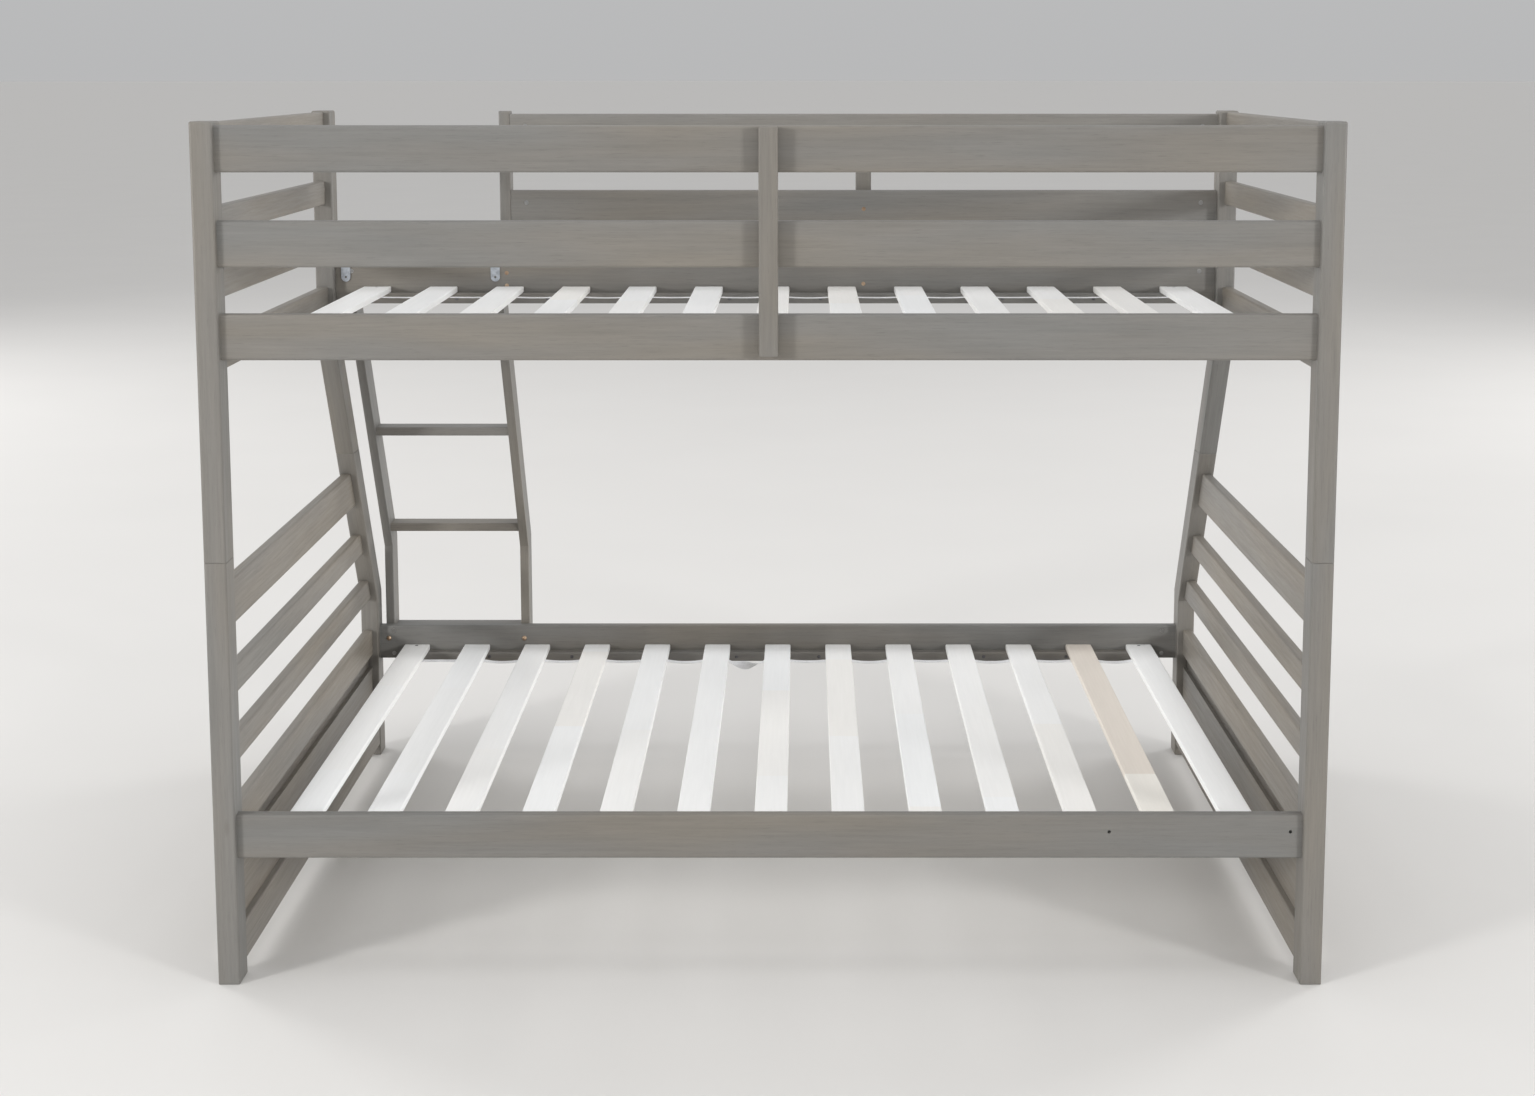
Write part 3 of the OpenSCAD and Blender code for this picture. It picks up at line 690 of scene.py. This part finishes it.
@dataclass
class Boards:
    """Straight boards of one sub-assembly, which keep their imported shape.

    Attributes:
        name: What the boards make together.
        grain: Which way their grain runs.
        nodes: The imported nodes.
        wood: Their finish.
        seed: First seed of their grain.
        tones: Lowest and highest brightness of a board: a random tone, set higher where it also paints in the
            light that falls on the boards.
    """

    name: str
    grain: Grain
    nodes: list[str]
    wood: WashedWood = field(default_factory=WashedWood)
    seed: int = 0
    tones: tuple[float, float] = (0.95, 1.05)

    def dress(self) -> None:
        """Gives each board its own cut of the wash."""
        for place, node in enumerate(self.nodes):
            shade = random.Random(self.seed + place).uniform(*self.tones)
            material = self.wood.material(f"wash_{node}", self.grain, self.seed + place, None, shade)
            dress(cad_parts[node], material)
        LOG.info("%s: %d boards washed", self.name, len(self.nodes))


@dataclass
class LeaningPieces:
    """Upright pieces that bend into a lean, with their long edges rounded over.

    Attributes:
        name: What the pieces are.
        nodes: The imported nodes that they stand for.
        lean: The stretch that leans.
        radius: Radius of the rounded edges.
        shortest: Shortest edge that is rounded.
        bluntest: Least angle between two faces, in radians, at which their edge is rounded.
        steep: Least share of a rounded edge's length that is height.
        on_side: How near a flat side a point lies to count as on it.
        tones: Lowest and highest brightness of a piece.
        wood: Their finish.
        seed: First seed of their grain.
    """

    name: str
    nodes: list[str]
    lean: Lean
    radius: float
    shortest: float
    bluntest: float = 0.5
    steep: float = 0.5
    on_side: float = 1e-5
    tones: tuple[float, float] = (0.96, 1.04)
    wood: WashedWood = field(default_factory=WashedWood)
    seed: int = 0

    def long_edges(self, shape: bmesh.types.BMesh) -> list[bmesh.types.BMEdge]:
        """Finds the edges that run down the piece on its two flat sides.

        Args:
            shape: The merged shape.

        Returns:
            The edges to round over.
        """
        sides = [vert.co.x for vert in shape.verts]
        low, high = min(sides), max(sides)
        found = []
        for edge in shape.edges:
            first, last = (vert.co for vert in edge.verts)
            if len(edge.link_faces) != 2 or edge.calc_face_angle(0.0) < self.bluntest:
                continue
            flush = all(min(abs(end.x - low), abs(end.x - high)) < self.on_side for end in (first, last))
            run = last - first
            if flush and run.length > self.shortest and abs(run.z) > self.steep * run.length:
                found.append(edge)
        return found

    def build(self) -> None:
        """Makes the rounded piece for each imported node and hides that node."""
        for place, node in enumerate(self.nodes):
            shape = bmesh.new()
            shape.from_mesh(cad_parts[node].data)
            bmesh.ops.remove_doubles(shape, verts=shape.verts, dist=1e-6)
            bmesh.ops.dissolve_limit(
                shape, angle_limit=math.radians(0.5), verts=shape.verts, edges=shape.edges
            )
            bmesh.ops.bevel(
                shape,
                geom=self.long_edges(shape),
                offset=self.radius,
                offset_type="OFFSET",
                segments=3,
                profile=0.5,
                affect="EDGES",
                clamp_overlap=True,
                material=-1,
            )
            bmesh.ops.triangulate(shape, faces=shape.faces)
            tone = random.Random(self.seed + place).uniform(*self.tones)
            material = self.wood.material(
                f"wash_{node}", Grain.UPRIGHT, self.seed + place, self.lean, tone
            )
            piece = finished(shape, f"{node}_eased", material, self.wood.slot)
            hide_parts(node)
        LOG.info("%s: %d pieces rounded and washed", self.name, len(self.nodes))


@dataclass
class SlatDeck:
    """One bunk's slats with the tapes that hold them apart.

    Attributes:
        name: Upper or lower.
        slats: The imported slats.
        pitch: Distance between slat centres.
        count: Slats in the deck.
        slat_width: Width of a slat.
        tape_width: Width of a tape.
        tape_thick: Thickness of a tape.
        tape_below: From the slats' undersides to the middle of a tape's thickness.
        tape_short: How far a tape stops short of the end slats' outer edges.
        tape_inset: From a slat's end to the middle of its tape.
        tape_steps: Stretches along and across a tape's mesh.
        sags: Lowest and highest sag of the tape between two slats.
        taut: Gaps at the left where the tape is pulled straight.
        twist_at: The gap where the ladder-side tape is turned over, or -1 for none.
        twist_drop: How far the tape hangs down where it is turned over.
        twist_fullness: How round that stretch hangs, where 1 is a plain arc and less is fuller.
        staple: Length, width and height of a staple's crown.
        staple_below: From the slats' undersides to the middle of a crown.
        staple_spread: How far each of a slat's two staples is from the tape's middle.
        staple_edge: Size of the small bevel on a staple.
        seed: Seed of the sags.
        tape: The tapes' finish.
    """

    name: str
    slats: str
    pitch: float = SLAT_PITCH
    count: int = 13
    slat_width: float = 0.062
    tape_width: float = 0.020
    tape_thick: float = 0.0008
    tape_below: float = 0.0006
    tape_short: float = 0.004
    tape_inset: float = 0.102
    tape_steps: tuple[int, int] = (520, 4)
    sags: tuple[float, float] = (0.0004, 0.0014)
    taut: int = 0
    twist_at: int = -1
    twist_drop: float = 0.011
    twist_fullness: float = 0.7
    staple: Triple = (0.011, 0.0012, 0.0007)
    staple_below: float = 0.0013
    staple_spread: float = 0.005
    staple_edge: float = 0.0002
    seed: int = 0
    tape: WovenTape = field(default_factory=WovenTape)

    def tape_point(self, along: float, sag: list[float], turned: bool) -> tuple[float, float]:
        """Where the tape's middle hangs, and how far it is turned over.

        Args:
            along: Distance from the first slat's outer edge.
            sag: The sag in each gap.
            turned: Whether this tape has the turn in it.

        Returns:
            Drop below the slats, and turn in radians.
        """
        gap = self.pitch - self.slat_width
        place = int(along // self.pitch)
        inside = (along - place * self.pitch - self.slat_width) / gap
        turn = math.pi if turned and place > self.twist_at else 0.0
        if inside <= 0 or place >= self.count - 1:
            return 0.0, turn
        drop = sag[place] * 4 * inside * (1 - inside)
        if turned and place == self.twist_at:
            turn = math.pi * inside * inside * (3 - 2 * inside)
            drop = self.twist_drop * math.sin(math.pi * inside) ** self.twist_fullness
        return drop, turn

    def hang_tape(self, side: str, middle: float, turned: bool) -> bpy.types.Object:
        """Makes one tape.

        Args:
            side: Wall or ladder.
            middle: The tape's middle across the bed.
            turned: Whether it is turned over in one gap.

        Returns:
            The tape.
        """
        low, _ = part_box(self.slats)
        length = self.pitch * (self.count - 1) + self.slat_width - 2 * self.tape_short
        start = -self.pitch * (self.count - 1) / 2 - self.slat_width / 2 + self.tape_short
        draw = random.Random(f"{self.seed}{side}")
        sag = [draw.uniform(*self.sags) for _ in range(self.count - 1)]
        sag[: self.taut] = [0.0] * self.taut
        shape = bmesh.new()
        steps_along, steps_across = self.tape_steps
        bmesh.ops.create_grid(shape, x_segments=steps_along, y_segments=steps_across, size=0.5)
        threads = shape.loops.layers.uv.new("threads")
        for face in shape.faces:
            for loop in face.loops:
                loop[threads].uv = ((loop.vert.co.x + 0.5) * length, loop.vert.co.y * self.tape_width)
        for vert in shape.verts:
            along = (vert.co.x + 0.5) * length
            across = vert.co.y * self.tape_width
            drop, turn = self.tape_point(along + self.tape_short, sag, turned)
            height = low.z - self.tape_below - drop + across * math.sin(turn)
            vert.co = Vector((start + along, middle + across * math.cos(turn), height))
        material = self.tape.material(f"tape_{self.name}_{side}")
        piece = finished(shape, f"slat_tape_{self.name}_{side}", material, self.tape.slot)
        thick = piece.modifiers.new("thickness", "SOLIDIFY")
        thick.thickness = self.tape_thick
        thick.offset = 0.0
        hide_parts("slat_webbing")
        return piece

    def staple_tapes(self, middles: list[float]) -> bpy.types.Object:
        """Makes the staples that hold the tapes to the slats.

        Args:
            middles: The tapes' middles across the bed.

        Returns:
            The staples, as one piece.
        """
        low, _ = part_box(self.slats)
        level = low.z - self.staple_below
        shape = bmesh.new()
        for middle in middles:
            for place in range(self.count):
                x = self.pitch * (place - (self.count - 1) / 2)
                for across in (-self.staple_spread, self.staple_spread):
                    spot = Vector((x, middle + across, level))
                    crown = Matrix.LocRotScale(spot, None, Vector(self.staple))
                    wire = bmesh.ops.create_cube(shape, size=1.0, matrix=crown)
                    edges = {edge for vert in wire["verts"] for edge in vert.link_edges}
                    bmesh.ops.bevel(
                        shape,
                        geom=list(edges),
                        offset=self.staple_edge,
                        offset_type="OFFSET",
                        segments=1,
                        profile=0.5,
                        affect="EDGES",
                        material=-1,
                    )
        material = DULL_STEEL.material(f"staples_{self.name}")
        return finished(shape, f"tape_staples_{self.name}", material, DULL_STEEL.slot)

    def build(self) -> None:
        """Hangs both tapes and staples them."""
        low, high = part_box(self.slats)
        middles = [low.y + self.tape_inset, high.y - self.tape_inset]
        for side, middle in zip(("wall", "ladder"), middles):
            self.hang_tape(side, middle, side == "ladder" and self.twist_at >= 0)
        self.staple_tapes(middles)
        LOG.info("%s deck: tapes hung and stapled", self.name)


@dataclass
class Paintwork:
    """The painted slats.

    Attributes:
        white: Nodes painted white.
        cream: Nodes painted cream.
    """

    white: list[str]
    cream: list[str]

    def dress(self) -> None:
        """Paints the slats."""
        for node in self.white:
            dress(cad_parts[node], WHITE_PAINT.material(f"white_{node}"))
        for node in self.cream:
            dress(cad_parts[node], CREAM_PAINT.material(f"cream_{node}"))
        LOG.info("slats: %d nodes painted", len(self.white) + len(self.cream))


@dataclass
class Hardware:
    """Bolts, nuts, pins, screws and hooks.

    Attributes:
        finishes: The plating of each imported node.
    """

    finishes: dict[str, PlatedSteel]

    def dress(self) -> None:
        """Plates each node."""
        for node, steel in self.finishes.items():
            dress(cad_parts[node], steel.material(f"steel_{node}"))
        LOG.info("hardware: %d nodes plated", len(self.finishes))


@dataclass(frozen=True)
class SoftBox:
    """One area light of the studio.

    Attributes:
        name: Its name.
        place: Where it hangs.
        aim: The point that it faces.
        size: Its width and height.
        power: Its power in watts.
    """

    name: str
    place: Triple
    aim: Triple
    size: tuple[float, float]
    power: float

    def hang(self) -> None:
        """Adds the light, which the camera doesn't see."""
        data = bpy.data.lights.new(self.name, "AREA")
        data.shape = "RECTANGLE"
        data.size, data.size_y = self.size
        data.energy = self.power
        lamp = bpy.data.objects.new(self.name, data)
        lamp.location = self.place
        lamp.rotation_mode = "QUATERNION"
        lamp.rotation_quaternion = (Vector(self.aim) - Vector(self.place)).to_track_quat("-Z", "Y")
        lamp.visible_camera = False
        bpy.context.scene.collection.objects.link(lamp)


@dataclass
class Studio:
    """A pale floor, soft lights and the camera.

    Attributes:
        floor_colour: Colour of the floor.
        floor_radius: Radius of the floor, wide enough for its edge to lie at the horizon.
        floor_drop: How far the floor lies below the feet, so that the two faces don't meet.
        floor_mottle: Brightness of the floor's darker patches.
        floor_patches: Patches of the floor per metre.
        floor_roughness: Roughness of the floor.
        air_colour: Colour of the surroundings.
        air_low: Brightness of the surroundings at the horizon and below it.
        air_high: Brightness of the surroundings overhead.
        camera_place: Where the camera stands.
        camera_tilt: How far it looks down, in degrees.
        lens: Focal length on a 36 mm wide sensor.
        shift: Shift of the lens, sideways and upwards.
        lights: The soft boxes.
    """

    floor_colour: Colour = srgb(222, 220, 217)
    floor_radius: float = 300.0
    floor_drop: float = 0.0004
    floor_mottle: float = 0.985
    floor_patches: float = 1.5
    floor_roughness: float = 0.62
    air_colour: Colour = (0.985, 0.99, 1.0)
    air_low: float = 0.49
    air_high: float = 0.75
    camera_place: Triple = (0.0587, -4.6905, 1.6640)
    camera_tilt: float = 7.5
    lens: float = 52.846
    shift: tuple[float, float] = (-0.0224, -0.1193)
    lights: tuple[SoftBox, ...] = (
        SoftBox("left_softbox", (-7.2, -6.2, 2.8), (0.0, -0.3, 0.9), (1.4, 1.4), 430.0),
        SoftBox("right_softbox", (7.8, -7.2, 2.8), (0.0, -0.3, 0.9), (1.4, 1.4), 420.0),
        SoftBox("back_left_softbox", (-8.6, 6.2, 3.6), (0.0, 0.2, 1.0), (3.0, 3.0), 360.0),
        SoftBox("back_right_softbox", (8.6, 6.2, 3.6), (0.0, 0.2, 1.0), (3.0, 3.0), 360.0),
        SoftBox("ceiling_softbox", (0.0, -1.0, 4.8), (0.0, 0.2, 0.6), (4.0, 3.0), 40.0),
    )

    def lay_floor(self) -> None:
        """Lays a wide plain floor."""
        shape = bmesh.new()
        bmesh.ops.create_circle(shape, cap_ends=True, segments=64, radius=self.floor_radius)
        bmesh.ops.translate(shape, verts=shape.verts, vec=(0.0, 0.0, -self.floor_drop))
        mesh = bpy.data.meshes.new("studio_floor")
        shape.to_mesh(mesh)
        shape.free()
        floor = bpy.data.objects.new("studio_floor", mesh)
        bpy.context.scene.collection.objects.link(floor)
        mix = Recipe("floor_paint")
        patches = (self.floor_patches, self.floor_patches, self.floor_patches)
        soft = mix.noise(mix.placed(mix.coordinates(), patches), 3.0, 0.5)
        darker = tuple(part * self.floor_mottle for part in self.floor_colour)
        mix.join(mix.ramp(soft, [(0.3, darker), (0.7, self.floor_colour)]), mix.surface.inputs["Base Color"])
        mix.surface.inputs["Roughness"].default_value = self.floor_roughness
        mesh.materials.append(mix.material)

    def soften_air(self) -> None:
        """Fills the surroundings with pale light."""
        world = bpy.data.worlds.new("studio_air")
        bpy.context.scene.world = world
        world.use_nodes = True
        tree = world.node_tree
        background = tree.nodes["Background"]
        background.inputs["Color"].default_value = (*self.air_colour, 1.0)
        direction = tree.nodes.new("ShaderNodeSeparateXYZ")
        tree.links.new(tree.nodes.new("ShaderNodeTexCoord").outputs["Generated"], direction.inputs[0])
        rise = tree.nodes.new("ShaderNodeMapRange")
        for place, number in enumerate((0.0, 1.0, self.air_low, self.air_high), start=1):
            rise.inputs[place].default_value = number
        tree.links.new(direction.outputs[2], rise.inputs[0])
        tree.links.new(rise.outputs[0], background.inputs["Strength"])

    def set_camera(self) -> None:
        """Stands the camera in front of the wall side."""
        data = bpy.data.cameras.new("view_camera")
        data.lens = self.lens
        data.sensor_width = 36.0
        data.shift_x, data.shift_y = self.shift
        camera = bpy.data.objects.new("view_camera", data)
        camera.location = self.camera_place
        camera.rotation_euler = (math.radians(90 - self.camera_tilt), 0.0, 0.0)
        bpy.context.scene.collection.objects.link(camera)
        bpy.context.scene.camera = camera

    def build(self) -> None:
        """Sets the whole studio up."""
        self.set_camera()
        self.lay_floor()
        self.soften_air()
        for light in self.lights:
            light.hang()
        bpy.context.scene.view_settings.view_transform = "Standard"
        LOG.info("studio: floor, lights and camera set")


def both(pattern: str) -> list[str]:
    """Names the left and the right piece of a pair.

    Args:
        pattern: The name with a place for the side.

    Returns:
        Both names.
    """
    return [pattern.format(side) for side in ("left", "right")]


def boards() -> list[Boards]:
    """Lists the straight boards of each sub-assembly.

    Returns:
        The sub-assemblies, in the order in which they are finished.
    """
    upper_end_rails = ("top_rail", "second_rail", "third_rail", "bottom_rail")
    lower_end_boards = ("top_rail", "second_rail", "third_rail", "fourth_rail", "panel", "foot_rail")
    guards = [f"{side}_guard_{rail}_rail" for side in ("wall", "ladder") for rail in ("top", "mid")]
    side_rails = [f"{bunk}_side_rail_{side}" for bunk in ("upper", "lower") for side in ("wall", "ladder")]
    ledgers = [f"{bunk}_ledger_{side}" for bunk in ("upper", "lower") for side in ("wall", "ladder")]
    # Painted light: the end boards get the lamplit wash and a brightness above 1, which paint in the lamp
    # light that falls on them, on top of their random tone.
    lamplit_end_tones = (1.04, 1.13)
    return [
        Boards(
            "wall-side posts",
            Grain.UPRIGHT,
            both("lower_post_wall_{}") + both("upper_post_wall_{}"),
            seed=10,
        ),
        Boards(
            "upper ends",
            Grain.ACROSS_BED,
            [node for rail in upper_end_rails for node in both(f"upper_end_{rail}_{{}}")],
            wood=LAMPLIT_END_WASH,
            seed=20,
            tones=lamplit_end_tones,
        ),
        Boards(
            "lower ends",
            Grain.ACROSS_BED,
            [node for board in lower_end_boards for node in both(f"lower_end_{board}_{{}}")],
            wood=LAMPLIT_END_WASH,
            seed=40,
            tones=lamplit_end_tones,
        ),
        Boards("guards and side rails", Grain.ALONG_BED, guards + side_rails, seed=60),
        Boards("ledgers and rungs", Grain.ALONG_BED, [*ledgers, "ladder_rungs"], seed=80),
        Boards(
            "cleats and opening post",
            Grain.UPRIGHT,
            ["wall_guard_cleat", "ladder_guard_cleat", "opening_post"],
            seed=90,
        ),
    ]


def main() -> None:
    """Builds the bed's pieces in order and reports them."""
    logging.basicConfig(level=logging.INFO, format="%(message)s")
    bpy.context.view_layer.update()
    Studio().build()
    for assembly in boards():
        assembly.dress()
    Paintwork(["upper_slats", "lower_slats"], ["lower_cream_slat"]).dress()
    Hardware(
        {
            "ladder_hooks": ZINC_STRAP,
            "post_bolts": ZINC_BOLT,
            "barrel_nuts": ZINC_BOLT,
            "ladder_foot_bolts": YELLOW_ZINC,
            "hook_screws": ZINC_BOLT,
            "post_pins": DULL_STEEL,
            "ledger_screws": DULL_STEEL,
            "slat_screws": DULL_STEEL,
            "guard_screws": YELLOW_ZINC,
        }
    ).dress()
    LeaningPieces(
        "ladder-side legs",
        both("lower_post_ladder_{}") + both("upper_post_ladder_{}"),
        LEG_LEAN,
        radius=0.003,
        shortest=0.005,
        seed=100,
    ).build()
    LeaningPieces(
        "ladder stiles",
        both("ladder_stile_{}"),
        STILE_LEAN,
        radius=0.002,
        shortest=0.02,
        seed=110,
    ).build()
    SlatDeck("upper", "upper_slats", seed=1).build()
    SlatDeck("lower", "lower_slats", sags=(0.0015, 0.004), taut=1, twist_at=5, seed=2).build()


if __name__ == "__main__":
    main()
